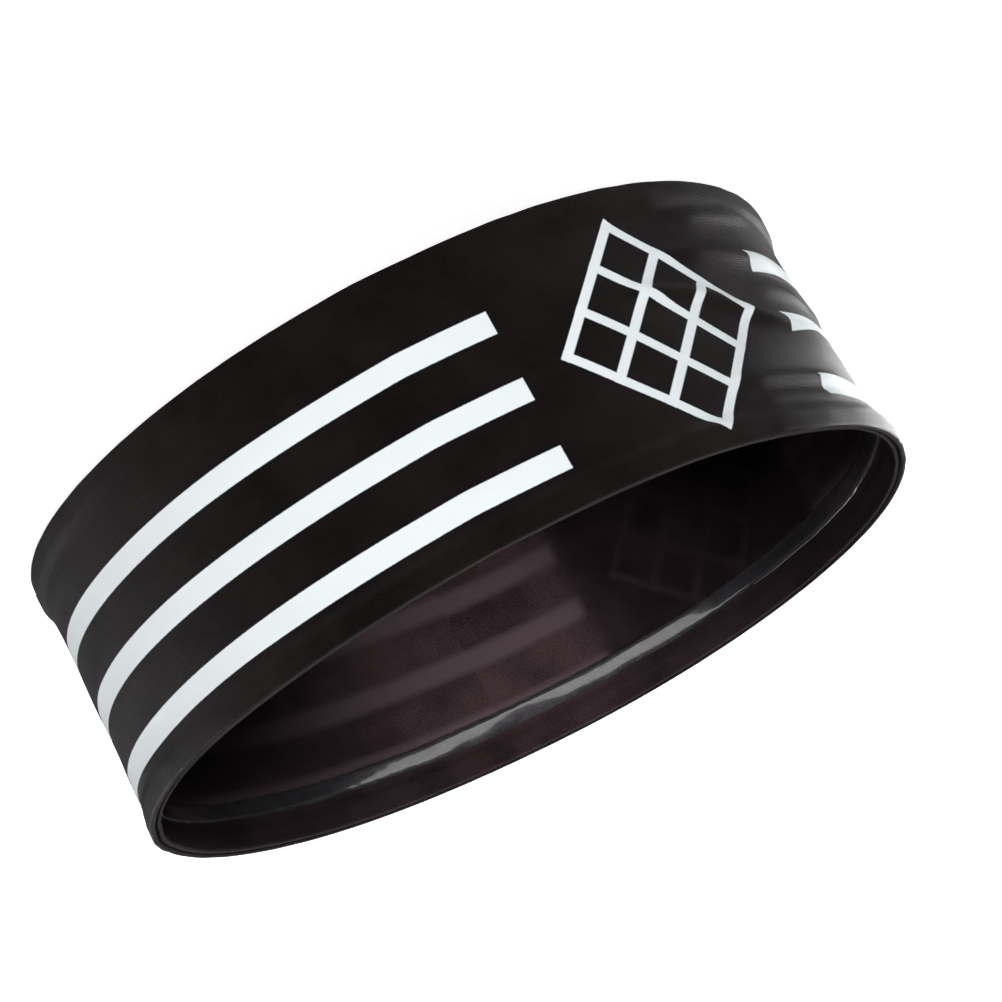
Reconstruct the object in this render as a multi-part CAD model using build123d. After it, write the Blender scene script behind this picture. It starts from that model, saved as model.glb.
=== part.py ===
from build123d import *
import math
import os

# Sports headband: two stretch-knit tubes, one inside the other, sewn together at both rims, with a
# silicone grip strip round the inside. Millimetres. The band stands on its plain rim in the shape
# it takes round a head, with +Z up through the opening, +X along the long axis of the oval and -Y
# the front. The origin is the middle of the band's box, on the surface that it stands on.

os.makedirs("parts", exist_ok=True)

# Driving dimensions
BAND_LENGTH = 197.0       # oval, outside, along X: front to back of the head
BAND_WIDTH = 154.0        # oval, outside, along Y: across the head
BAND_HEIGHT = 70.0        # rim to rim
EGG_SHIFT = 10.0          # the oval is widest this far from its middle, towards -X
CLOTH = 0.6               # one layer of knit
PLAY = 0.15               # room between two layers that lie together
SEAM_GAP = 0.3            # room for the thread between the two sewn allowances
ALLOWANCE = 6.0           # cloth turned in at each rim
EDGE_ROLL = 1.2           # the lining stops this far short of the shell's folded edge
FOLD_ROUND = 0.45         # rounding of the shell's folded edge, which leaves a flat land to stand on
LINING_FOLD_ROUND = 0.25

GRIP_WIDTH = 5.2          # silicone strip, along Z
GRIP_THICKNESS = 0.9
GRIP_FROM_RIM = 8.6       # from the upper rim to the strip's upper edge
GRIP_ROUND = 0.4

THREAD = 0.2              # a rim seam's thread, across the layers
THREAD_LINE = 0.4         # the same thread, along Z
THREAD_FROM_RIM = 2.6     # from the rim to the middle of the line of stitches

SEAM_ANGLE = 5.0         # closing seams: degrees round the narrow half of the oval, at the back
FLAP_WIDTH = 5.0          # allowance on each side of a closing seam
FLAP_SPLIT = 0.5          # groove between the two allowances, which holds the thread
CLOSING_THREAD = 0.3      # across the groove and into it
THREAD_CLEARANCE = 0.05   # between a closing thread and the cloth behind it

# How far each layer's outer face lies inside the band's outer face
SHELL_FLAP = CLOTH
SHELL_ALLOWANCE = CLOTH + PLAY
SEAM_THREAD = SHELL_ALLOWANCE + CLOTH + (SEAM_GAP - THREAD) / 2
LINING_ALLOWANCE = SHELL_ALLOWANCE + CLOTH + SEAM_GAP
LINING_WALL = LINING_ALLOWANCE + CLOTH + PLAY
LINING_FLAP = LINING_WALL - CLOTH
GRIP_FACE = LINING_WALL + CLOTH

FLAP_BOTTOM = ALLOWANCE + 1.0
FLAP_TOP = BAND_HEIGHT - FLAP_BOTTOM


def oval(inset):
    """The band's outline moved in by inset: two half ellipses that meet at the widest place."""
    half_width = BAND_WIDTH / 2 - inset
    blunt_radius = BAND_LENGTH / 2 - EGG_SHIFT - inset
    narrow_radius = BAND_LENGTH / 2 + EGG_SHIFT - inset
    middle = (-EGG_SHIFT, 0)
    with BuildSketch() as outline:
        with BuildLine():
            EllipticalCenterArc(middle, narrow_radius, half_width, start_angle=-90, arc_size=180)
            EllipticalCenterArc(middle, blunt_radius, half_width, start_angle=90, arc_size=180)
        make_face()
    return outline.sketch


def ring(outer, thickness, bottom, top):
    """A wall round the oval, from outer to outer + thickness inside the band's outer face."""
    section = oval(outer) - oval(outer + thickness)
    return Pos(0, 0, bottom) * extrude(section, amount=top - bottom)


def turned_in_tube(wall, allowance, bottom, top):
    """A cloth tube whose two edges are folded over, so that an allowance lies beside its wall."""
    outer = min(wall, allowance)
    fold = abs(allowance - wall) + CLOTH
    tube = ring(wall, CLOTH, bottom, top)
    tube += ring(outer, fold, bottom, bottom + CLOTH)
    tube += ring(outer, fold, top - CLOTH, top)
    tube += ring(allowance, CLOTH, bottom, ALLOWANCE)
    tube += ring(allowance, CLOTH, BAND_HEIGHT - ALLOWANCE, top)
    return tube


def rounded(solid, heights, radius, from_inset=0.0):
    """Round the level edges of a solid at the given heights, those further in than from_inset."""
    tolerance = 1e-3
    reach = BAND_WIDTH / 2 - from_inset + tolerance
    edges = [edge for edge in solid.edges()
             if any(abs(edge.center().Z - height) < tolerance for height in heights)
             and abs((edge @ 0).Y) < reach]
    return fillet(edges, radius)


def at_closing_seam(width):
    """A block through the wall at the closing seams, as wide along the wall as width."""
    angle = math.radians(SEAM_ANGLE)
    narrow_radius = BAND_LENGTH / 2 + EGG_SHIFT
    half_width = BAND_WIDTH / 2
    x = -EGG_SHIFT + narrow_radius * math.cos(angle)
    y = half_width * math.sin(angle)
    facing = math.degrees(math.atan2(math.sin(angle) / half_width, math.cos(angle) / narrow_radius))
    return Pos(x, y, BAND_HEIGHT / 2) * Rot(0, 0, facing) * Box(20, width, BAND_HEIGHT)


def closing_flaps(outer):
    """The two allowances of a closing seam, pressed open on each side of its groove."""
    layer = ring(outer, CLOTH, FLAP_BOTTOM, FLAP_TOP)
    return (layer & at_closing_seam(2 * FLAP_WIDTH + FLAP_SPLIT)) - at_closing_seam(FLAP_SPLIT)


def closing_thread(outer):
    """The thread that lies in a closing seam's groove."""
    return ring(outer, CLOSING_THREAD, FLAP_BOTTOM, FLAP_TOP) & at_closing_seam(CLOSING_THREAD)


def outer_shell():
    """Printed outer tube: the whole band and both folded rims."""
    tube = turned_in_tube(0, SHELL_ALLOWANCE, 0, BAND_HEIGHT)
    tube = rounded(tube, (0, BAND_HEIGHT), FOLD_ROUND)
    return tube + closing_flaps(SHELL_FLAP)


def inner_lining():
    """Inner tube, sewn to the shell's allowances a little inside each rim."""
    bottom = EDGE_ROLL
    top = BAND_HEIGHT - EDGE_ROLL
    tube = turned_in_tube(LINING_WALL, LINING_ALLOWANCE, bottom, top)
    tube = rounded(tube, (bottom, top), LINING_FOLD_ROUND)
    return tube + closing_flaps(LINING_FLAP)


def silicone_grip_strip():
    """One bead of silicone all round the lining, near the upper rim, rounded on its free side."""
    top = BAND_HEIGHT - GRIP_FROM_RIM
    bottom = top - GRIP_WIDTH
    strip = ring(GRIP_FACE, GRIP_THICKNESS, bottom, top)
    return rounded(strip, (bottom, top), GRIP_ROUND, from_inset=GRIP_FACE + GRIP_THICKNESS)


def rim_seam_thread(height):
    """The thread that joins shell and lining along one rim, between their allowances."""
    return ring(SEAM_THREAD, THREAD, height - THREAD_LINE / 2, height + THREAD_LINE / 2)


PIECES = {
    "outer_shell": outer_shell(),
    "inner_lining": inner_lining(),
    "silicone_grip_strip": silicone_grip_strip(),
    "grip_rim_seam_thread": rim_seam_thread(BAND_HEIGHT - THREAD_FROM_RIM),
    "plain_rim_seam_thread": rim_seam_thread(THREAD_FROM_RIM),
    "shell_closing_thread": closing_thread(SHELL_FLAP + THREAD_CLEARANCE),
    "lining_closing_thread": closing_thread(LINING_WALL - CLOSING_THREAD - THREAD_CLEARANCE),
}

for name, piece in PIECES.items():
    piece.label = name
    export_step(piece, f"parts/{name}.step")
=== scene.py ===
"""Sports headband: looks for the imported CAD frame. +Z goes up through the opening, -Y is the front."""
import math

import bpy
import numpy as np
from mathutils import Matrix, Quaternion, Vector


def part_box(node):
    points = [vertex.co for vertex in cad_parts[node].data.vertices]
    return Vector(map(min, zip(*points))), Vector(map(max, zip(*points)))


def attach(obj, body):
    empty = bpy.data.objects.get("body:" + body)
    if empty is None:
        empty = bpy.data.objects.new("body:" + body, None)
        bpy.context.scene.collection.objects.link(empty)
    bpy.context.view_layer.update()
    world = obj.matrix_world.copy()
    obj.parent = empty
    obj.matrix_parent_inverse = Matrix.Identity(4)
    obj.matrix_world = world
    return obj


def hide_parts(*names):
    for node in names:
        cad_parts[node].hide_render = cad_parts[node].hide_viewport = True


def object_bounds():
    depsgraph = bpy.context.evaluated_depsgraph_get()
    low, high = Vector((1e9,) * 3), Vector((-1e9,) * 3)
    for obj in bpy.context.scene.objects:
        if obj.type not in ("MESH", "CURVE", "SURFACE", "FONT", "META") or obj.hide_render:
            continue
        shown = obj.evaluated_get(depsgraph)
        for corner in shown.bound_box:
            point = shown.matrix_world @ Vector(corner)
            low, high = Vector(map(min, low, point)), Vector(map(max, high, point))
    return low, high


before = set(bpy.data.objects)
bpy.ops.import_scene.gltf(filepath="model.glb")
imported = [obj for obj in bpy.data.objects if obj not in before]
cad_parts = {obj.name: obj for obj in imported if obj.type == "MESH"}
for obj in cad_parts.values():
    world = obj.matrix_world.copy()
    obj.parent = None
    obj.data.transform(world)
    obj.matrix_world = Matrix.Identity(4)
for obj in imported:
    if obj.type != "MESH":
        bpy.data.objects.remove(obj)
CAD_LOW, CAD_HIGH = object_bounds()

MM = 0.001

# ---------------------------------------------------------------- the band's sizes, in millimetres
LENGTH = (CAD_HIGH.x - CAD_LOW.x) / MM
WIDTH = (CAD_HIGH.y - CAD_LOW.y) / MM
HEIGHT = (CAD_HIGH.z - CAD_LOW.z) / MM
EGG_SHIFT = 10.0            # the oval is widest this far from its middle, towards -X
CLOTH = 0.6                 # one layer of knit
ALLOWANCE = 6.0             # cloth turned in at each rim
FOLD_RADIUS = 0.375         # middle of the cloth, round a folded edge
BODY_INSET = 0.8            # between the rims the shell lies this much further in than over its hems
LINING_GAP = 0.12           # between shell and lining where they lie together

# Places along the band are arc lengths from the middle of the front, positive towards +X.
CREASE_AT = 17.7            # soft fold from rim to rim
CLOSING_SEAM_AT = 153.0     # where the ends of both tubes are sewn together, at the back of the head

# ---------------------------------------------------------------- the print, in millimetres
STRIPE_PITCH = 17.75
STRIPE_WIDTH = 5.95
FIRST_STRIPE = 22.2         # middle of the lowest stripe, above the plain rim
STRIPE_COUNT = 3
PLAIN_ZONES = (-41.1, -206.4)   # middles of the two zones without stripes, which hold the motif
PLAIN_HALF = 36.05
MOTIF_HALF_WIDTH = 26.5
MOTIF_HALF_HEIGHT = 29.5
MOTIF_HEIGHT_AT = 36.6      # middle of the motif, above the plain rim
MOTIF_CELLS = 3             # the diamond net has this many cells along each side
MOTIF_LINE = 2.3
SEAM_MISMATCH = 0.5         # the stripes step this much where they meet at the closing seam


def smooth(low, high, value):
    """0 below low, 1 above high, and a smooth rise between."""
    t = np.clip((value - low) / (high - low), 0.0, 1.0)
    return t * t * (3.0 - 2.0 * t)


# ---------------------------------------------------------------- the oval, by arc length
_ANGLES = np.linspace(-np.pi / 2, 3 * np.pi / 2, 14401)
_RADIUS_X = np.where(np.cos(_ANGLES) > 0, LENGTH / 2 + EGG_SHIFT, LENGTH / 2 - EGG_SHIFT)
_OVAL_X = _RADIUS_X * np.cos(_ANGLES) - EGG_SHIFT
_OVAL_Y = WIDTH / 2 * np.sin(_ANGLES)
_NORMAL = np.stack([np.cos(_ANGLES) / _RADIUS_X, np.sin(_ANGLES) / (WIDTH / 2)])
_NORMAL /= np.linalg.norm(_NORMAL, axis=0)
_ARC = np.concatenate([[0.0], np.cumsum(np.hypot(np.diff(_OVAL_X), np.diff(_OVAL_Y)))])
PERIMETER = _ARC[-1]


def on_oval(s):
    """x, y and the outward normal's x, y at arc length s."""
    wrapped = np.mod(s, PERIMETER)
    return [np.interp(wrapped, _ARC, row) for row in (_OVAL_X, _OVAL_Y, _NORMAL[0], _NORMAL[1])]


def apart(s, centre):
    """Signed distance along the band from centre to s, the short way round."""
    return np.mod(s - centre + PERIMETER / 2, PERIMETER) - PERIMETER / 2


# ---------------------------------------------------------------- how the cloth leaves the plain oval
# Soft folds that the stretched cloth gathers into: start (s, z), end (s, z), half width, height.
BLUNT_END_FOLDS = (
    (-56.0, 9.4, -92.0, 8.4, 2.2, 0.95),
    (-46.0, 17.8, -96.0, 23.4, 2.2, 1.40),
    (-34.0, 25.5, -66.0, 34.0, 2.2, 1.20),
    (-54.0, 32.0, -102.0, 49.0, 2.6, 1.70),
    (-70.0, 29.0, -100.0, 33.0, 1.9, 0.80),
    (-44.0, 54.4, -94.0, 56.2, 1.6, 1.30),
    (-48.0, 59.8, -88.0, 61.0, 1.3, 0.95),
    (-28.0, 63.5, -52.0, 63.8, 1.8, 0.60),
    (-104.0, 30.0, -150.0, 24.0, 4.0, 0.90),
    (-112.0, 46.0, -160.0, 50.0, 3.6, 0.90),
    (-120.0, 12.0, -170.0, 10.0, 3.0, 0.70),
)
OTHER_FOLDS = (
    (96.0, 30.0, 140.0, 38.0, 4.5, 0.35),
    (104.0, 12.0, 150.0, 9.0, 3.5, 0.30),
    (106.0, 63.5, 146.0, 58.5, 1.7, 0.45),
    (66.0, 61.0, 104.0, 63.0, 1.6, 0.25),
    (170.0, 44.0, 214.0, 36.0, 5.0, 0.40),
    (166.0, 22.0, 232.0, 27.0, 5.5, 0.35),
    (244.0, 50.0, 284.0, 54.0, 4.5, 0.30),
    (300.0, 20.0, 352.0, 30.0, 5.0, 0.40),
)


FOLD_FADE = 0.3             # each end fades over this share of the fold's length


def fold(s, z, start_s, start_z, end_s, end_z, half_width, height):
    """One soft fold: a round ridge along a line, fading out at both ends."""
    run = np.array([end_s - start_s, end_z - start_z])
    length = np.hypot(*run)
    along_x, along_z = run / length
    away = apart(s, start_s)
    along = away * along_x + (z - start_z) * along_z
    across = -away * along_z + (z - start_z) * along_x
    fade = smooth(0, FOLD_FADE * length, along) * smooth(0, FOLD_FADE * length, length - along)
    return height * fade * np.exp(-(across / half_width) ** 2)


def waves(s, z, count, longest, shortest, height, seed):
    """Slow random unevenness, as a sum of sine waves that close round the band."""
    draw = np.random.default_rng(seed)
    total = np.zeros(np.broadcast(s, z).shape)
    for _ in range(count):
        turns = np.round(PERIMETER / draw.uniform(shortest, longest))
        lean = draw.uniform(-0.06, 0.06)
        phase = draw.uniform(0, 2 * np.pi)
        total += np.sin(2 * np.pi * (turns * s / PERIMETER + lean * z) + phase)
    return height * total / math.sqrt(count)


BASE_SWELL = 0.6            # of all the cloth
PLAIN_HEM_SWELL = 0.8
PLAIN_HEM_FLAT = 2.0        # full swell up to this height
PLAIN_HEM_FALL = 5.5        # and then falling off over about this much
GRIP_HEM_SWELL = 0.7
GRIP_HEM_MIDDLE = 3.0       # down from its rim
GRIP_HEM_FALL = 5.2
CREASE_HEIGHT = 0.9
CREASE_FALL = 9.0
CREASE_ROUND = 2.0          # rounds the crest of the crease, in square millimetres
SEAM_RIDGE = 0.35           # height of the closing seam's allowances
SEAM_RIDGE_EDGE = (4.0, 6.5)
SEAM_GROOVE = 0.4           # depth of its stitched line
SEAM_GROOVE_HALF = 0.45

# Changes along the band: middle, half width, most.
GRIP_HEM_MORE = (-109.0, 48.0, 0.9)
GRIP_HEM_LESS = (146.0, 60.0, 0.6)
PLAIN_HEM_WIDER = (146.0, 60.0, 4.5)
PUFF = (-86.0, 13.0, 0.9)   # the shell stands a little proud here, between its hems
FLARE = (-62.0, 26.0, 1.0)  # the plain hem flares out here

# Unevenness: number of waves, longest and shortest, height.
LONG_WAVES = (5, 120.0, 60.0, 0.18)
HEM_RIPPLES = (6, 14.0, 6.0, 0.05)


def swelling(s, middle, half_width, most):
    """most at the middle, falling off smoothly along the band."""
    return most * np.exp(-(apart(s, middle) / half_width) ** 2)


def relief(s, z):
    """How far the cloth stands outside the plain oval."""
    plain_hem_fall = PLAIN_HEM_FALL + swelling(s, *PLAIN_HEM_WIDER)
    plain_hem = np.exp(-(np.maximum(z - PLAIN_HEM_FLAT, 0) / plain_hem_fall) ** 2)
    grip_hem = np.exp(-((HEIGHT - z - GRIP_HEM_MIDDLE) / GRIP_HEM_FALL) ** 2)
    grip_hem_swell = GRIP_HEM_SWELL + swelling(s, *GRIP_HEM_MORE) - swelling(s, *GRIP_HEM_LESS)
    total = BASE_SWELL + PLAIN_HEM_SWELL * plain_hem + grip_hem_swell * grip_hem
    total += swelling(s, *PUFF) * (1 - plain_hem) * (1 - grip_hem)
    total += swelling(s, *FLARE) * plain_hem
    total += CREASE_HEIGHT * np.exp(-np.sqrt(apart(s, CREASE_AT) ** 2 + CREASE_ROUND) / CREASE_FALL)
    for line in BLUNT_END_FOLDS + OTHER_FOLDS:
        total += fold(s, z, *line)
    total += waves(s, z, *LONG_WAVES, seed=3)
    total += (plain_hem + grip_hem) * waves(s, z, *HEM_RIPPLES, seed=5)
    seam_away = np.abs(apart(s, CLOSING_SEAM_AT))
    ridge = SEAM_RIDGE * (1 - smooth(*SEAM_RIDGE_EDGE, seam_away))
    groove = SEAM_GROOVE * np.exp(-(seam_away / SEAM_GROOVE_HALF) ** 2)
    total += ridge - groove
    return total


def rim_sway(s, z):
    """How far the rims rise and fall: the cloth's height isn't the same all round."""
    top = 0.5 * np.sin(2 * np.pi * (s + 30.0) / PERIMETER) + 0.25 * np.sin(6 * np.pi * s / PERIMETER)
    bottom = 0.3 + 0.3 * np.sin(4 * np.pi * (s - 40.0) / PERIMETER)
    share = np.clip(z / HEIGHT, 0, 1)
    return top * share + bottom * (1 - share)


def placed(s, inset, z):
    """Points in metres, from arc length, distance inside the outline and height above the plain rim."""
    x, y, normal_x, normal_y = on_oval(s)
    out = relief(s, z) - inset
    return np.stack([x + normal_x * out, y + normal_y * out, z + rim_sway(s, z)], axis=-1) * MM


# ---------------------------------------------------------------- the cloth's cross-sections
EVEN_COLUMNS = 400
POINTS_ROUND_FOLD = 9
POINTS_UP_ALLOWANCE = 6
POINTS_DOWN_WALL = 66


def columns():
    """Arc lengths of the mesh's columns: even, with extra ones at the crease and the closing seam."""
    even = np.linspace(0, PERIMETER, EVEN_COLUMNS, endpoint=False)
    seam = CLOSING_SEAM_AT + np.linspace(-1.6, 1.6, 15)
    crease = CREASE_AT + np.linspace(-6, 6, 13)
    return np.unique(np.round(np.concatenate([even, seam, crease]), 3)) - PERIMETER / 2


HEM_END = (4.6, 8.2)        # where the hem's thickness ends, from the rim
FOLD_ENDS = 1.5             # the folded edge ends this far along the cloth from its rim


def body_step(z):
    """0 over the hems, 1 on the body between them, where nothing is turned in."""
    return smooth(*HEM_END, z) * smooth(*HEM_END, HEIGHT - z)


def tube_path(wall, allowance):
    """Middle of a cloth tube's wall, as inset, height and distance along the cloth from the plain rim.

    The path runs from the end of the upper allowance, over the upper fold, down the wall, round the
    lower fold and up to the end of the lower allowance. wall and allowance are insets.
    """
    side = math.copysign(1.0, allowance - wall)
    radius = abs(allowance - wall) / 2
    fold_at = CLOTH / 2 + radius
    turn = np.linspace(0, np.pi, POINTS_ROUND_FOLD)
    turned_in = np.linspace(ALLOWANCE, fold_at, POINTS_UP_ALLOWANCE)[:-1]
    down = np.linspace(HEIGHT - fold_at, fold_at, POINTS_DOWN_WALL)[1:-1]
    middle = (wall + allowance) / 2
    fold_inset = middle + side * radius * np.cos(turn)
    fold_height = HEIGHT - fold_at + radius * np.sin(turn)
    upper_fold = list(zip(fold_inset, fold_height))
    points = [(allowance, HEIGHT - z) for z in turned_in]
    points += upper_fold
    points += [(wall, z) for z in down]
    points += [(inset, HEIGHT - z) for inset, z in reversed(upper_fold)]
    points += [(allowance, z) for z in turned_in[::-1]]
    points = np.array(points)
    steps = np.hypot(*np.diff(points, axis=0).T)
    along = np.concatenate([[0.0], np.cumsum(steps)])
    return points, along[-1] / 2 - along + HEIGHT / 2


def thickened(path, cloth_at):
    """A closed section, one cloth thick, round an open path. The ends are rounded by one point each."""
    tangent = np.gradient(path, axis=0)
    tangent /= np.linalg.norm(tangent, axis=1)[:, None]
    normal = np.stack([tangent[:, 1], -tangent[:, 0]], axis=1)
    half = CLOTH / 2
    first, last = path[0] - tangent[0] * half * 0.8, path[-1] + tangent[-1] * half * 0.8
    section = np.concatenate([path + normal * half, [last], (path - normal * half)[::-1], [first]])
    cloth = np.concatenate([cloth_at, [cloth_at[-1]], cloth_at[::-1], [cloth_at[0]]])
    return section, cloth


def ring_mesh(name, s, points, cloth_at):
    """A mesh from a grid of points, columns round the band and rows round the section, closed both ways.

    Its UV map holds the place on the flat cloth in metres: along the band, and up from the plain rim.
    """
    n_columns, n_rows = points.shape[:2]
    column, row = np.meshgrid(np.arange(n_columns), np.arange(n_rows), indexing="ij")
    next_column, next_row = (column + 1) % n_columns, (row + 1) % n_rows
    corners = np.stack([
        column * n_rows + row, next_column * n_rows + row,
        next_column * n_rows + next_row, column * n_rows + next_row], axis=-1).reshape(-1, 4)
    s_right = np.append(s[1:], s[0] + PERIMETER)
    cloth_at = np.broadcast_to(cloth_at, (n_columns, n_rows))
    cloth_up = np.roll(cloth_at, -1, axis=1)
    u = np.stack([s[column], s_right[column], s_right[column], s[column]], axis=-1)
    right = np.roll(cloth_at, -1, axis=0)
    right_up = np.roll(cloth_up, -1, axis=0)
    v = np.stack([cloth_at, right, right_up, cloth_up], axis=-1)
    mesh = bpy.data.meshes.new(name)
    mesh.from_pydata(points.reshape(-1, 3).tolist(), [], corners.tolist())
    layer = mesh.uv_layers.new(name="cloth")
    layer.data.foreach_set("uv", (np.stack([u, v], axis=-1).reshape(-1) * MM).astype(np.float32))
    mesh.polygons.foreach_set("use_smooth", np.ones(len(mesh.polygons), dtype=bool))
    mesh.update()
    piece = bpy.data.objects.new(name, mesh)
    bpy.context.scene.collection.objects.link(piece)
    return piece


SHELL_WALL = CLOTH / 2
SHELL_ALLOWANCE = SHELL_WALL + 2 * FOLD_RADIUS
ALLOWANCE_GAP = 0.3         # between the two turned-in allowances, where the rim seams run
LINING_ALLOWANCE = SHELL_ALLOWANCE + CLOTH + ALLOWANCE_GAP
LINING_WALL = LINING_ALLOWANCE + 2 * FOLD_RADIUS
LINING_EDGE = 0.35
LINING_EDGE_MORE = (-105.0, 55.0, 0.30)
LINING_EDGE_WAVES = (4, 70.0, 30.0, 0.06)


def lining_edge(s):
    """How far the lining's folded edge lies inside the rims: it rolls in a little more at the blunt end."""
    return LINING_EDGE + swelling(s, *LINING_EDGE_MORE) + waves(s, 0.0, *LINING_EDGE_WAVES, seed=9)


def lining_body_shift():
    """How much nearer to the outline the lining's wall lies on the body than over the hems."""
    return LINING_WALL - (SHELL_WALL + BODY_INSET + CLOTH + LINING_GAP)


def clear_of_rims(cloth):
    """Which points of a section lie clear of the folded edges, by their place along the cloth."""
    return np.abs(cloth - HEIGHT / 2) < HEIGHT / 2 - FOLD_ENDS


def outer_shell():
    """The printed tube. On the body, where no allowance lies behind it, its wall sits further in."""
    section, cloth = thickened(*tube_path(SHELL_WALL, SHELL_ALLOWANCE))
    inset, z = section.T
    on_wall = (inset < SHELL_WALL + CLOTH) & clear_of_rims(cloth)
    inset = inset + BODY_INSET * body_step(z) * on_wall
    s = columns()
    return ring_mesh("shell_cloth", s, placed(s[:, None], inset, z), cloth)


def inner_lining():
    """The plain tube. It follows the shell's wall on the body, and its edges lie inside the rims."""
    section, cloth = thickened(*tube_path(LINING_WALL, LINING_ALLOWANCE))
    inset, z = section.T
    on_wall = (inset > LINING_WALL - CLOTH) & clear_of_rims(cloth)
    s = columns()
    squeeze = (HEIGHT - 2 * lining_edge(s)[:, None]) / HEIGHT
    z = HEIGHT / 2 + (z - HEIGHT / 2) * squeeze
    inset = inset - lining_body_shift() * body_step(z) * on_wall
    return ring_mesh("lining_cloth", s, placed(s[:, None], inset, z), cloth)


def lining_face(z):
    """Inset of the lining's inner face."""
    return LINING_WALL + CLOTH / 2 - lining_body_shift() * body_step(z)


# ---------------------------------------------------------------- the silicone strip
GRIP_LOW, GRIP_HIGH = (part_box("silicone_grip_strip")[i].z / MM for i in (0, 1))
GRIP_THICKNESS = 0.72
GRIP_SUNK = 0.12            # the silicone soaks this far into the lining
GRIP_SQUARENESS = 7         # how flat the bead's top is
GRIP_LEAN = 0.12            # how much thicker its lower edge is
GRIP_FAR_LEAN = 0.66        # how much is added to that on the far side of the oval
GRIP_FAR_START = (205.0, 246.0)     # it comes in over this stretch, going towards +X from the front
GRIP_FAR_END = (-200.0, -226.0)     # and over this one, going towards -X
GRIP_WANDER = (5, 60.0, 14.0, 0.16)
GRIP_RIPPLE = (4, 7.0, 4.0, 0.05)
GRIP_FULLNESS = (5, 90.0, 25.0, 0.08)
GRIP_LEAN_WAVES = (4, 90.0, 40.0, 0.03)


def grip_edge(s, height, seed):
    """One wandering edge of the strip, with a short ripple on a long wave."""
    wander = waves(s, 0.0, *GRIP_WANDER, seed)
    ripple = waves(s, 0.0, *GRIP_RIPPLE, seed + 4)
    return (height + wander + ripple)[:, None]


def silicone_grip_strip():
    """A flat bead run onto the lining: smooth on top, thicker along one edge, and never quite straight."""
    s = np.arange(0, PERIMETER, 0.9) - PERIMETER / 2
    across = np.cos(np.linspace(0, np.pi, 25))
    dome = GRIP_THICKNESS * (1 - np.abs(across) ** GRIP_SQUARENESS) ** 0.5
    upper = grip_edge(s, GRIP_HIGH, seed=21)
    lower = grip_edge(s, GRIP_LOW, seed=22)
    fullness = (1.0 + waves(s, 0.0, *GRIP_FULLNESS, seed=23))[:, None]
    from_front = s % PERIMETER
    far_side = smooth(*GRIP_FAR_START, from_front) * smooth(*GRIP_FAR_END, from_front - PERIMETER)
    lean = GRIP_LEAN + GRIP_FAR_LEAN * far_side
    lean += waves(s, 0.0, *GRIP_LEAN_WAVES, seed=24)
    z_face = lower + (upper - lower) * (across[None, :] + 1) / 2
    face = dome[None, :] * fullness * (1 - lean[:, None] * across[None, :])
    inset_face = lining_face(z_face) + face
    z_back = z_face[:, ::-1][:, 1:-1]
    inset_back = lining_face(z_back) - GRIP_SUNK
    z = np.concatenate([z_face, z_back], axis=1)
    inset = np.concatenate([inset_face, inset_back], axis=1)
    return ring_mesh("grip_bead", s, placed(s[:, None], inset, z), z)


# ---------------------------------------------------------------- threads
THREAD_SIDES = 6
STEPS_PER_STITCH = 8
RIM_THREAD = 0.09           # its radius
RIM_STITCH = 2.4            # its length
RIM_SEAM_DOWN = 2.6         # the rim seams run this far from the rims
RIM_SWING = (0.34, 0.5)     # in and out, up and down
CLOSING_THREAD = 0.08
CLOSING_STITCH = 1.8
CLOSING_SWING = (0.28, 0.12)    # to and fro, in and out
CLOSING_SEAM_END = 7.0      # the closing seams stop this far from the rims, inside the folds
SHELL_SEAM_INSET = 1.35     # how far inside the outline the closing seams lie
LINING_SEAM_INSET = 1.6


def thread_mesh(name, points, radius, closed):
    """A thin round thread through points, as a mesh tube."""
    points = np.asarray(points)
    ahead = np.roll(points, -1, axis=0) - np.roll(points, 1, axis=0)
    if not closed:
        ahead[0], ahead[-1] = points[1] - points[0], points[-1] - points[-2]
    ahead /= np.linalg.norm(ahead, axis=1)[:, None]
    side = np.cross(ahead, [0.13, 0.21, 0.97])
    side /= np.linalg.norm(side, axis=1)[:, None]
    up = np.cross(side, ahead)
    turn = np.linspace(0, 2 * np.pi, THREAD_SIDES + 1)[:-1]
    rings = (points[:, None, :] + radius * (np.cos(turn)[None, :, None] * side[:, None, :]
             + np.sin(turn)[None, :, None] * up[:, None, :]))
    n_points, n_sides = rings.shape[:2]
    last = n_points if closed else n_points - 1
    faces = []
    for i in range(last):
        for j in range(n_sides):
            a, b = i * n_sides, (i + 1) % n_points * n_sides
            k = (j + 1) % n_sides
            faces.append((a + j, b + j, b + k, a + k))
    if not closed:
        faces.append(tuple(range(n_sides)))
        faces.append(tuple((n_points - 1) * n_sides + j for j in reversed(range(n_sides))))
    mesh = bpy.data.meshes.new(name)
    mesh.from_pydata(rings.reshape(-1, 3).tolist(), [], faces)
    mesh.polygons.foreach_set("use_smooth", np.ones(len(mesh.polygons), dtype=bool))
    piece = bpy.data.objects.new(name, mesh)
    bpy.context.scene.collection.objects.link(piece)
    return piece


def rim_seam_thread(name, z_middle):
    """A row of overlock stitches between the two allowances of one rim."""
    stitches = round(PERIMETER / RIM_STITCH)
    step = np.arange(stitches * STEPS_PER_STITCH) / STEPS_PER_STITCH
    s = step * PERIMETER / stitches
    inset = (SHELL_ALLOWANCE + LINING_ALLOWANCE) / 2 + RIM_SWING[0] * np.sin(2 * np.pi * step)
    z = z_middle + RIM_SWING[1] * np.sin(4 * np.pi * step)
    return thread_mesh(name, placed(s, inset, z), RIM_THREAD * MM, closed=True)


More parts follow.
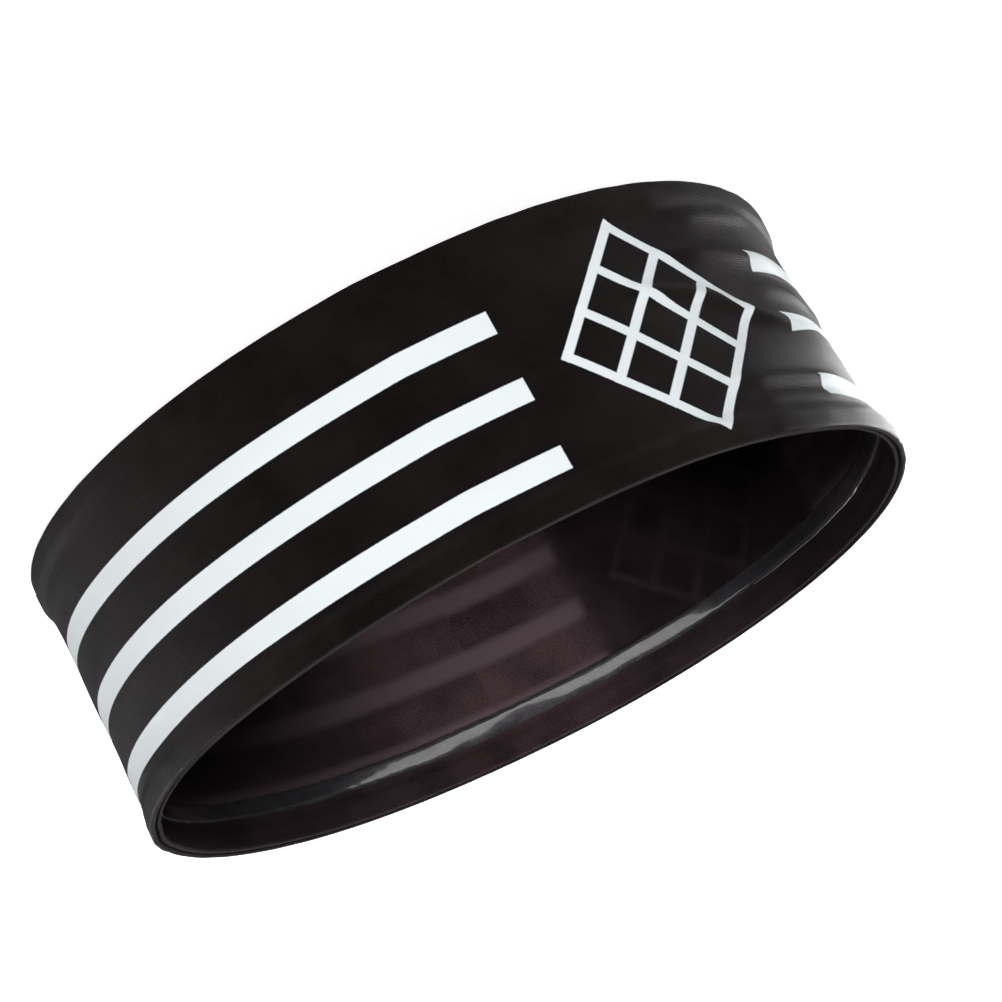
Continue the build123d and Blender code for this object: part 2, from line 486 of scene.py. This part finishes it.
def closing_thread(name, inset_middle):
    """The ladder of stitches down a closing seam."""
    z = np.arange(CLOSING_SEAM_END, HEIGHT - CLOSING_SEAM_END, CLOSING_STITCH / STEPS_PER_STITCH)
    swing = 2 * np.pi * (z - CLOSING_SEAM_END) / CLOSING_STITCH
    s = CLOSING_SEAM_AT + CLOSING_SWING[0] * np.sin(swing)
    inset = inset_middle + CLOSING_SWING[1] * np.cos(swing)
    return thread_mesh(name, placed(s, inset, z), CLOSING_THREAD * MM, closed=False)


# ---------------------------------------------------------------- materials
BLACK = (0.0, 0.0, 0.0, 1.0)
LINT = (0.30, 0.28, 0.26, 1.0)
LINT_CELLS = 0.085          # cells of its pattern to the millimetre
LINT_SHARE = 0.45           # of those cells hold a speck
LINT_SPECK = (0.012, 0.022)     # where a speck's edge starts and ends, in cells from its middle
WALE, COURSE = 0.46, 0.38   # width and height of one stitch, in millimetres
ZONE_SOFTNESS = 4.0         # half of the soft edge of a zone without stripes
STRIP_SOFTNESS = 3.0        # half of the soft change of tone under the silicone strip, where the painted hem shade begins


class Nodes:
    """A material's node tree, with short ways to add to it."""

    def __init__(self, name):
        self.material = bpy.data.materials.new(name)
        self.material.use_nodes = True
        self.tree = self.material.node_tree
        self.shader = self.tree.nodes["Principled BSDF"]

    def feed(self, socket, value):
        if isinstance(value, bpy.types.NodeSocket):
            self.tree.links.new(value, socket)
        elif value is not None:
            socket.default_value = value

    def node(self, kind, inputs=(), **settings):
        made = self.tree.nodes.new(kind)
        for name, value in settings.items():
            setattr(made, name, value)
        for key, value in dict(inputs).items():
            self.feed(made.inputs[key], value)
        return made

    def math(self, operation, a, b=None, c=None):
        made = self.node("ShaderNodeMath", operation=operation)
        for socket, value in zip(made.inputs, (a, b, c)):
            self.feed(socket, value)
        return made.outputs[0]

    def distance(self, value, centre):
        return self.math("ABSOLUTE", self.math("SUBTRACT", value, centre))

    def between(self, value, low, high, start=0.0, end=1.0):
        """start below low, end above high, and a smooth change between."""
        made = self.node("ShaderNodeMapRange", {"Value": value, "From Min": low, "From Max": high,
                                                "To Min": start, "To Max": end},
                         interpolation_type="SMOOTHSTEP")
        return made.outputs["Result"]

    def mix(self, share, a, b):
        made = self.node("ShaderNodeMix", data_type="RGBA")
        colours = [socket for socket in made.inputs if socket.type == "RGBA"]
        self.feed(made.inputs["Factor"], share)
        self.feed(colours[0], a)
        self.feed(colours[1], b)
        return [socket for socket in made.outputs if socket.type == "RGBA"][0]

    def noise(self, vector, scale, detail=2.0, roughness=0.5):
        made = self.node("ShaderNodeTexNoise", {"Vector": vector, "Scale": scale, "Detail": detail,
                                                "Roughness": roughness})
        return made.outputs["Fac"]

    def cloth_place(self):
        """Millimetres along the band and up from the plain rim, and both as a vector."""
        uv = self.node("ShaderNodeUVMap", uv_map="cloth").outputs["UV"]
        scaled = self.node("ShaderNodeVectorMath", {0: uv, 1: (1000.0, 1000.0, 1.0)}, operation="MULTIPLY")
        split = self.node("ShaderNodeSeparateXYZ", {0: scaled.outputs[0]})
        return split.outputs["X"], split.outputs["Y"], scaled.outputs[0]


def print_share(nodes, s, z, blur, motif_strength):
    """1 on the white print, 0 off it, with edges that are blur millimetres soft."""
    def inside(distance, half_width):
        return nodes.between(distance, half_width - blur / 2, half_width + blur / 2, 1.0, 0.0)

    from_gap = nodes.math("ADD", z, STRIPE_PITCH / 2 - FIRST_STRIPE)
    to_stripe = nodes.distance(nodes.math("WRAP", from_gap, STRIPE_PITCH, 0.0), STRIPE_PITCH / 2)
    stripes = inside(to_stripe, STRIPE_WIDTH / 2)
    stack_middle = FIRST_STRIPE + (STRIPE_COUNT - 1) / 2 * STRIPE_PITCH
    in_stack = inside(nodes.distance(z, stack_middle), STRIPE_COUNT / 2 * STRIPE_PITCH)
    share = nodes.math("MULTIPLY", stripes, in_stack)
    for middle in PLAIN_ZONES:
        outside = nodes.math("SUBTRACT", 1.0, inside(nodes.distance(s, middle), PLAIN_HALF))
        share = nodes.math("MULTIPLY", share, outside)
    for middle in PLAIN_ZONES:
        motif = nodes.math("MULTIPLY", motif_share(nodes, s, z, middle, inside), motif_strength)
        share = nodes.math("MAXIMUM", share, motif)
    return share


def motif_share(nodes, s, z, middle, inside):
    """The diamond net: a lozenge cut into smaller ones by lines along its sides."""
    across = nodes.math("DIVIDE", nodes.math("SUBTRACT", s, middle), MOTIF_HALF_WIDTH)
    up = nodes.math("DIVIDE", nodes.math("SUBTRACT", z, MOTIF_HEIGHT_AT), MOTIF_HALF_HEIGHT)
    side_gap = MOTIF_HALF_WIDTH * MOTIF_HALF_HEIGHT / math.hypot(MOTIF_HALF_WIDTH, MOTIF_HALF_HEIGHT)
    half_line = MOTIF_LINE / 2
    pitch = 2 * (side_gap - half_line) / MOTIF_CELLS
    lines = []
    bounds = []
    for operation in ("ADD", "SUBTRACT"):
        run = nodes.math("MULTIPLY", nodes.math(operation, across, up), side_gap)
        shifted = nodes.math("ADD", run, side_gap - half_line + pitch / 2)
        to_line = nodes.distance(nodes.math("WRAP", shifted, pitch, 0.0), pitch / 2)
        lines.append(inside(to_line, half_line))
        bounds.append(inside(nodes.math("ABSOLUTE", run), side_gap))
    return nodes.math("MULTIPLY", nodes.math("MAXIMUM", *lines), nodes.math("MULTIPLY", *bounds))


def knit_height(nodes, s, z):
    """Height of the knit's face: columns of V stitches, 0 to 1."""
    leg = nodes.math("MULTIPLY", nodes.math("PINGPONG", nodes.math("DIVIDE", s, WALE), 0.5), 2.0)
    row = nodes.math("ADD", nodes.math("DIVIDE", z, COURSE), nodes.math("MULTIPLY", leg, 0.55))
    loop = nodes.math("COSINE", nodes.math("MULTIPLY", row, 2 * math.pi))
    round_leg = nodes.math("SINE", nodes.math("MULTIPLY", leg, math.pi))
    return nodes.math("MULTIPLY", nodes.math("ADD", nodes.math("MULTIPLY", loop, 0.35), 0.65), round_leg)


def print_colour(nodes, share, colours):
    """The print's ramp, from its soft edge to its middle."""
    ramp = nodes.node("ShaderNodeValToRGB", {"Fac": share})
    elements = ramp.color_ramp.elements
    elements[0].position = 0.0
    elements[0].color = (*colours[0], 1.0)
    elements[1].position = 1.0
    elements[1].color = (*colours[2], 1.0)
    edge = elements.new(0.55)
    edge.color = (*colours[1], 1.0)
    return ramp.outputs["Color"]


def painted_hem_shade_and_plain_zones(nodes, s, z, colour, plain_zone_shade, painted_hem_shade):
    """The colour with painted shade above the silicone strip, and darker below it in the zones without
    stripes.
    """
    below_strip = nodes.between(z, GRIP_HIGH - STRIP_SOFTNESS, GRIP_HIGH + STRIP_SOFTNESS, 1.0, 0.0)
    # painted shade: the lining between the silicone strip and the grip rim is darkened by the hem's share
    hem = nodes.between(below_strip, 0.0, 1.0, 1.0 - painted_hem_shade, 0.0)
    colour = nodes.mix(hem, colour, BLACK)
    for middle in PLAIN_ZONES:
        in_zone = nodes.between(nodes.distance(s, middle), PLAIN_HALF - ZONE_SOFTNESS,
                                PLAIN_HALF + ZONE_SOFTNESS, 1.0, 0.0)
        zone = nodes.math("MULTIPLY", in_zone, below_strip)
        colour = nodes.mix(nodes.math("MULTIPLY", zone, 1.0 - plain_zone_shade), colour, BLACK)
    return colour


def lint(nodes, place, colour, amount):
    """A few pale specks."""
    cells = nodes.node("ShaderNodeTexVoronoi", {"Vector": place, "Scale": LINT_CELLS, "Randomness": 1.0})
    draw = nodes.node("ShaderNodeSeparateColor", {0: cells.outputs["Color"]}).outputs[0]
    has_speck = nodes.math("LESS_THAN", draw, LINT_SHARE)
    speck = nodes.between(cells.outputs["Distance"], *LINT_SPECK, 1.0, 0.0)
    share = nodes.math("MULTIPLY", nodes.math("MULTIPLY", speck, has_speck), amount)
    return nodes.mix(share, colour, LINT)


def knit_material(name, print_blur, motif_strength, print_colours, ground, sheen, roughness, specular,
                  specks, plain_zone_shade=1.0, painted_hem_shade=1.0):
    """Fine stretch jersey. print_colours go from the edge of the print to its middle.

    plain_zone_shade and the hem's share are the shares of the colour left in the zones without stripes and
    above the silicone strip, where the darkening is painted shade.
    """
    nodes = Nodes(name)
    s, z, place = nodes.cloth_place()
    past_seam = nodes.math("GREATER_THAN", s, CLOSING_SEAM_AT)
    z_print = nodes.math("ADD", z, nodes.math("MULTIPLY", past_seam, SEAM_MISMATCH))
    wobble = nodes.math("MULTIPLY", nodes.math("SUBTRACT", nodes.noise(place, 2.2, 1.0), 0.5), 0.16)
    wear = nodes.noise(place, 0.12, 3.0, 0.6)
    patches = nodes.between(wear, 0.35, 0.62, motif_strength ** 2, motif_strength)
    share = print_share(nodes, nodes.math("ADD", s, wobble), nodes.math("ADD", z_print, wobble),
                        print_blur, patches)

    mottle = nodes.between(nodes.noise(place, 0.05, 4.0, 0.6), 0.3, 0.7)
    grain = nodes.between(nodes.noise(place, 2.0, 3.0, 0.7), 0.34, 0.66)
    tone = nodes.math("ADD", nodes.math("MULTIPLY", mottle, 0.4), nodes.math("MULTIPLY", grain, 0.6))
    cloth = nodes.mix(tone, *ground)
    colour = nodes.mix(nodes.between(share, 0.0, 0.35), cloth, print_colour(nodes, share, print_colours))
    # painted shade above the silicone strip, and darker zones without stripes below it
    colour = painted_hem_shade_and_plain_zones(nodes, s, z, colour, plain_zone_shade, painted_hem_shade)
    colour = lint(nodes, place, colour, specks)
    nodes.feed(nodes.shader.inputs["Base Color"], colour)
    rough = nodes.between(grain, 0.0, 1.0, roughness - 0.06, roughness + 0.06)
    nodes.feed(nodes.shader.inputs["Roughness"], rough)

    weave = nodes.math("MULTIPLY", knit_height(nodes, s, z), 0.3)
    fuzz = nodes.math("MULTIPLY", nodes.noise(place, 1.7, 3.0, 0.7), 0.7)
    height = nodes.math("ADD", weave, fuzz)
    bump = nodes.node("ShaderNodeBump", {"Height": height, "Strength": 0.9, "Distance": 0.4 * MM})
    nodes.feed(nodes.shader.inputs["Normal"], bump.outputs["Normal"])
    nodes.shader.inputs["Sheen Weight"].default_value = sheen
    nodes.shader.inputs["Sheen Roughness"].default_value = 0.35
    nodes.shader.inputs["Sheen Tint"].default_value = (0.95, 0.93, 0.92, 1.0)
    nodes.shader.inputs["Specular IOR Level"].default_value = specular
    return nodes.material


def printed_knit():
    return knit_material(
        "printed_knit", print_blur=0.35, motif_strength=1.0,
        print_colours=((0.10, 0.13, 0.17), (0.45, 0.55, 0.63), (0.86, 0.91, 0.92)),
        ground=((0.0008, 0.0005, 0.0005, 1.0), (0.0140, 0.0102, 0.0098, 1.0)),
        sheen=0.05, roughness=0.55, specular=0.13, specks=0.8)


def lining_knit():
    return knit_material(
        "lining_knit", print_blur=3.0, motif_strength=0.5,
        print_colours=((0.024, 0.0155, 0.0175), (0.029, 0.0200, 0.0220), (0.040, 0.0285, 0.0315)),
        ground=((0.0030, 0.0015, 0.0018, 1.0), (0.0350, 0.0225, 0.0250, 1.0)),
        # the hem's share of 0.62 is painted shade: the lining above the silicone strip is darkened
        sheen=0.0, roughness=0.50, specular=0.12, specks=0.25, plain_zone_shade=0.48, painted_hem_shade=0.62)


def silicone():
    """Clear silicone over dark knit: near black where it mirrors nothing, with a broad wet shine."""
    nodes = Nodes("grip_silicone")
    place = nodes.cloth_place()[2]
    depth = nodes.between(nodes.noise(place, 0.35, 3.0), 0.3, 0.7)
    colour = nodes.mix(depth, (0.010, 0.009, 0.010, 1.0), (0.018, 0.017, 0.019, 1.0))
    nodes.feed(nodes.shader.inputs["Base Color"], colour)
    rough = nodes.between(nodes.noise(place, 1.2, 2.0), 0.3, 0.7, 0.16, 0.24)
    nodes.feed(nodes.shader.inputs["Roughness"], rough)
    bump = nodes.node("ShaderNodeBump", {"Height": nodes.noise(place, 0.25, 2.0), "Strength": 0.15,
                                         "Distance": 0.3 * MM})
    nodes.feed(nodes.shader.inputs["Normal"], bump.outputs["Normal"])
    nodes.shader.inputs["IOR"].default_value = 1.43
    nodes.shader.inputs["Specular IOR Level"].default_value = 0.6
    nodes.shader.inputs["Coat Weight"].default_value = 0.8
    nodes.shader.inputs["Coat Roughness"].default_value = 0.05
    return nodes.material


def thread_material():
    nodes = Nodes("thread")
    place = nodes.node("ShaderNodeTexCoord").outputs["Object"]
    twist = nodes.noise(place, 9000.0, 2.0)
    colour = nodes.mix(twist, (0.010, 0.009, 0.009, 1.0), (0.030, 0.027, 0.027, 1.0))
    nodes.feed(nodes.shader.inputs["Base Color"], colour)
    nodes.feed(nodes.shader.inputs["Roughness"], nodes.between(twist, 0.2, 0.8, 0.45, 0.65))
    return nodes.material


# ---------------------------------------------------------------- the set
FLOOR_GLOW = 0.70           # the floor is a light table, so its shadows stay faint
WALL_GLOW = 0.93
WALL_HEIGHT = 4.0
REACH = 2.8                 # from the band to each wall
CORNERS = [(-REACH, -REACH), (REACH, -REACH), (REACH, REACH), (-REACH, REACH)]


def plain_surface(name, corners, faces, glow):
    """Part of the set: matt, pale, glowing a little, and throwing no light back onto the band."""
    mesh = bpy.data.meshes.new(name)
    mesh.from_pydata(corners, [], faces)
    surface = bpy.data.objects.new(name, mesh)
    bpy.context.scene.collection.objects.link(surface)
    nodes = Nodes(name)
    nodes.shader.inputs["Base Color"].default_value = (0.93, 0.93, 0.93, 1.0)
    nodes.shader.inputs["Roughness"].default_value = 0.9
    nodes.shader.inputs["Emission Color"].default_value = (1.0, 1.0, 1.0, 1.0)
    nodes.shader.inputs["Emission Strength"].default_value = glow
    mesh.materials.append(nodes.material)
    surface.visible_diffuse = False
    surface.visible_glossy = False
    return surface


def floor():
    """A plain pale floor, wider than the view from above."""
    plain_surface("floor", [(x, y, 0) for x, y in CORNERS], [(0, 1, 2, 3)], FLOOR_GLOW)


def walls():
    """Pale walls round the floor, for views from near it. The world's light passes through them."""
    corners = [(x, y, z) for z in (0, WALL_HEIGHT) for x, y in CORNERS]
    faces = [(i, (i + 1) % 4, (i + 1) % 4 + 4, i + 4) for i in range(4)]
    surface = plain_surface("walls", corners, faces, WALL_GLOW)
    surface.visible_shadow = False


def aim_lamp(lamp, place, target):
    lamp.location = place
    lamp.rotation_mode = "QUATERNION"
    lamp.rotation_quaternion = (Vector(target) - Vector(place)).to_track_quat("-Z", "Y")
    lamp.visible_camera = False
    bpy.context.scene.collection.objects.link(lamp)


def softbox(name, place, target, size, watts):
    light = bpy.data.lights.new(name, "AREA")
    light.shape = "RECTANGLE"
    light.size, light.size_y = size
    light.energy = watts
    lamp = bpy.data.objects.new(name, light)
    aim_lamp(lamp, place, target)
    return lamp


CAMERA_AIM = Vector((-0.0085, -0.0106, 0.035))
CAMERA_AZIMUTH = math.radians(8.85)
CAMERA_ELEVATION = math.radians(20.85)
CAMERA_ROLL = math.radians(151.4)
CAMERA_DISTANCE = 0.603
CAMERA_LENS = 91.07


def camera():
    """The band is seen from above its front, through the opening, with the picture turned nearly over."""
    back = Vector((math.sin(CAMERA_AZIMUTH) * math.cos(CAMERA_ELEVATION),
                   -math.cos(CAMERA_AZIMUTH) * math.cos(CAMERA_ELEVATION),
                   math.sin(CAMERA_ELEVATION)))
    data = bpy.data.cameras.new("camera")
    data.sensor_width = 36.0
    data.lens = CAMERA_LENS
    data.clip_start, data.clip_end = 0.01, 50.0
    eye = bpy.data.objects.new("camera", data)
    eye.location = CAMERA_AIM + back * CAMERA_DISTANCE
    eye.rotation_mode = "QUATERNION"
    eye.rotation_quaternion = (-back).to_track_quat("-Z", "Y") @ Quaternion((0, 0, 1), CAMERA_ROLL)
    bpy.context.scene.collection.objects.link(eye)
    bpy.context.scene.camera = eye


WORLD_GLOW = 0.18
OVERHEAD_GLOW = 0.02
GLOW_FADES = (10.0, 20.0)   # elevations in degrees


def studio_world():
    """A world that is brighter near the horizon, as pale studio walls are, and dark overhead."""
    world = bpy.data.worlds.new("studio")
    world.use_nodes = True
    tree = world.node_tree
    background = tree.nodes["Background"]
    direction = tree.nodes.new("ShaderNodeTexCoord").outputs["Generated"]
    up = tree.nodes.new("ShaderNodeSeparateXYZ")
    tree.links.new(direction, up.inputs[0])
    height = tree.nodes.new("ShaderNodeMath")
    height.operation = "ABSOLUTE"
    tree.links.new(up.outputs["Z"], height.inputs[0])
    ramp = tree.nodes.new("ShaderNodeMapRange")
    ramp.interpolation_type = "SMOOTHSTEP"
    ramp.inputs["From Min"].default_value = math.sin(math.radians(GLOW_FADES[0]))
    ramp.inputs["From Max"].default_value = math.sin(math.radians(GLOW_FADES[1]))
    ramp.inputs["To Min"].default_value = WORLD_GLOW
    ramp.inputs["To Max"].default_value = OVERHEAD_GLOW
    tree.links.new(height.outputs[0], ramp.inputs["Value"])
    tree.links.new(ramp.outputs["Result"], background.inputs["Strength"])
    background.inputs["Color"].default_value = (1.0, 1.0, 1.0, 1.0)
    bpy.context.scene.world = world


def lining_spot():
    """A narrow beam over the front of the band onto the middle of the lining's far side."""
    light = bpy.data.lights.new("lining_spot", "SPOT")
    light.spot_size = math.radians(5.9)
    light.spot_blend = 1.0
    light.shadow_soft_size = 0.03
    light.energy = 138.0
    lamp = bpy.data.objects.new("lining_spot", light)
    aim_lamp(lamp, (0.05, -0.95, 0.76), (-0.004, 0.075, 0.046))
    lamp.visible_glossy = False


def lights():
    """Each softbox: its name, place, target, size and watts."""
    studio_world()
    softbox("back_box", (0.0, 1.5, 2.6), (0, 0, 0), (3.0, 2.0), 130.0)
    key = softbox("key_box", (0.20, -1.30, 0.28), (0, 0, 0.03), (0.45, 0.40), 16.2)
    key.visible_glossy = False      # the front strip alone is mirrored in the silicone
    softbox("front_strip", (0.02, -1.30, 0.30), (0, 0, 0.03), (3.8, 0.26), 8.5)
    softbox("blunt_end_box", (-0.95, 0.70, 0.055), (-0.06, 0, 0.036), (0.40, 0.07), 13.5)
    softbox("bounce_card", (-0.24, 0.16, 0.002), (-0.175, 0.10, 1.0), (0.16, 0.16), 1.8)
    lining_spot()
    softbox("narrow_end_box", (0.96, 0.72, 0.036), (0.05, 0, 0.036), (0.8, 0.07), 5.5)


# ---------------------------------------------------------------- put together
def dress(piece, material, node):
    """Give a piece its material and tie it to the frame, in place of its CAD node."""
    piece.data.materials.append(material)
    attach(piece, "root")
    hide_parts(node)
    return piece


camera()
lights()
floor()
walls()

shell = dress(outer_shell(), printed_knit(), "outer_shell")
lining = dress(inner_lining(), lining_knit(), "inner_lining")
dress(silicone_grip_strip(), silicone(), "silicone_grip_strip")
thread = thread_material()
seams = (
    (rim_seam_thread("grip_rim_stitches", HEIGHT - RIM_SEAM_DOWN), "grip_rim_seam_thread"),
    (rim_seam_thread("plain_rim_stitches", RIM_SEAM_DOWN), "plain_rim_seam_thread"),
    (closing_thread("shell_closing_stitches", SHELL_SEAM_INSET), "shell_closing_thread"),
    (closing_thread("lining_closing_stitches", LINING_SEAM_INSET), "lining_closing_thread"),
)
for stitches, node in seams:
    dress(stitches, thread, node)

bpy.context.scene.view_settings.view_transform = "Standard"
